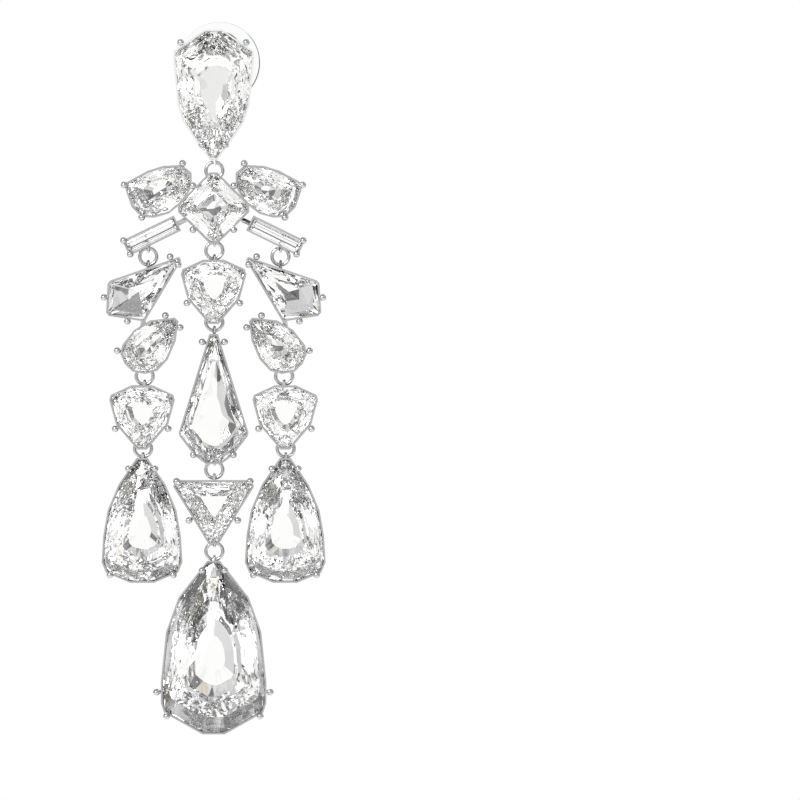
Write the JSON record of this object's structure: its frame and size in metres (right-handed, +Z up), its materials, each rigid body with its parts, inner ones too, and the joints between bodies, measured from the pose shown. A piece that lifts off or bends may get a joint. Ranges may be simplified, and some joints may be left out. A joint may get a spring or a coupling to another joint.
{
  "type": "chandelier earring",
  "caption": "Pierced chandelier earring: clear cut stones in claw settings, linked by jump rings into side and centre strands that end in large hanging drops.",
  "frame": {"origin": "middle of the ear lobe, on the axis of the post, half way between the top setting's back plate and the comfort disc", "axes": "+Z up along the hanging earring, -Y out of the front of the stones, +X to the right seen from the front"},
  "size_m": [0.028, 0.014, 0.0905],
  "materials": {
    "clear_crystal": "clear faceted crystal, polished",
    "silver_metal": "bright silver-coloured plating, polished",
    "clear_plastic": "thin clear plastic, glossy"
  },
  "bodies": {
    "ear_stud": {"top_setting": "silver_metal", "top_stone": "clear_crystal", "comfort_disc": "clear_plastic", "ear_nut": "silver_metal"},
    "cluster": {"stud_ring": "silver_metal", "cluster_setting": "silver_metal", "square_stone": "clear_crystal", "left_upper_pear_stone": "clear_crystal", "right_upper_pear_stone": "clear_crystal", "left_baguette_stone": "clear_crystal", "right_baguette_stone": "clear_crystal"},
    "left_strand": {"left_ring": "silver_metal", "left_link_setting": "silver_metal", "left_kite_stone": "clear_crystal", "left_pear_stone": "clear_crystal", "left_shield_ring": "silver_metal", "left_shield_setting": "silver_metal", "left_shield_stone": "clear_crystal"},
    "right_strand": {"right_ring": "silver_metal", "right_link_setting": "silver_metal", "right_kite_stone": "clear_crystal", "right_pear_stone": "clear_crystal", "right_shield_ring": "silver_metal", "right_shield_setting": "silver_metal", "right_shield_stone": "clear_crystal"},
    "centre_strand": {"centre_ring": "silver_metal", "centre_shield_setting": "silver_metal", "centre_shield_stone": "clear_crystal", "long_kite_ring": "silver_metal", "long_kite_setting": "silver_metal", "long_kite_stone": "clear_crystal", "triangle_ring": "silver_metal", "triangle_setting": "silver_metal", "triangle_stone": "clear_crystal"},
    "left_pendant": {"left_drop_ring": "silver_metal", "left_drop_setting": "silver_metal", "left_drop_stone": "clear_crystal"},
    "right_pendant": {"right_drop_ring": "silver_metal", "right_drop_setting": "silver_metal", "right_drop_stone": "clear_crystal"},
    "main_pendant": {"main_drop_ring": "silver_metal", "main_drop_setting": "silver_metal", "main_drop_stone": "clear_crystal"}
  },
  "joints": [
    {"name": "cluster_swing", "type": "hinge", "parent": "ear_stud", "child": "cluster", "pos_m": [0, -0.0054, -0.01364], "axis": [1, 0, 0], "range_deg": [-30, 30]},
    {"name": "left_strand_swing", "type": "hinge", "parent": "cluster", "child": "left_strand", "pos_m": [-0.0083, -0.0054, -0.02444], "axis": [1, 0, 0], "range_deg": [-30, 30]},
    {"name": "right_strand_swing", "type": "hinge", "parent": "cluster", "child": "right_strand", "pos_m": [0.0083, -0.0054, -0.02444], "axis": [1, 0, 0], "range_deg": [-30, 30]},
    {"name": "centre_strand_swing", "type": "hinge", "parent": "cluster", "child": "centre_strand", "pos_m": [0, -0.0054, -0.02369], "axis": [1, 0, 0], "range_deg": [-30, 30]},
    {"name": "left_drop_swing", "type": "hinge", "parent": "left_strand", "child": "left_pendant", "pos_m": [-0.00895, -0.0054, -0.04854], "axis": [1, 0, 0], "range_deg": [-25, 25]},
    {"name": "right_drop_swing", "type": "hinge", "parent": "right_strand", "child": "right_pendant", "pos_m": [0.00895, -0.0054, -0.04854], "axis": [1, 0, 0], "range_deg": [-25, 25]},
    {"name": "main_drop_swing", "type": "hinge", "parent": "centre_strand", "child": "main_pendant", "pos_m": [0, -0.0054, -0.06144], "axis": [1, 0, 0], "range_deg": [-30, 30]}
  ]
}
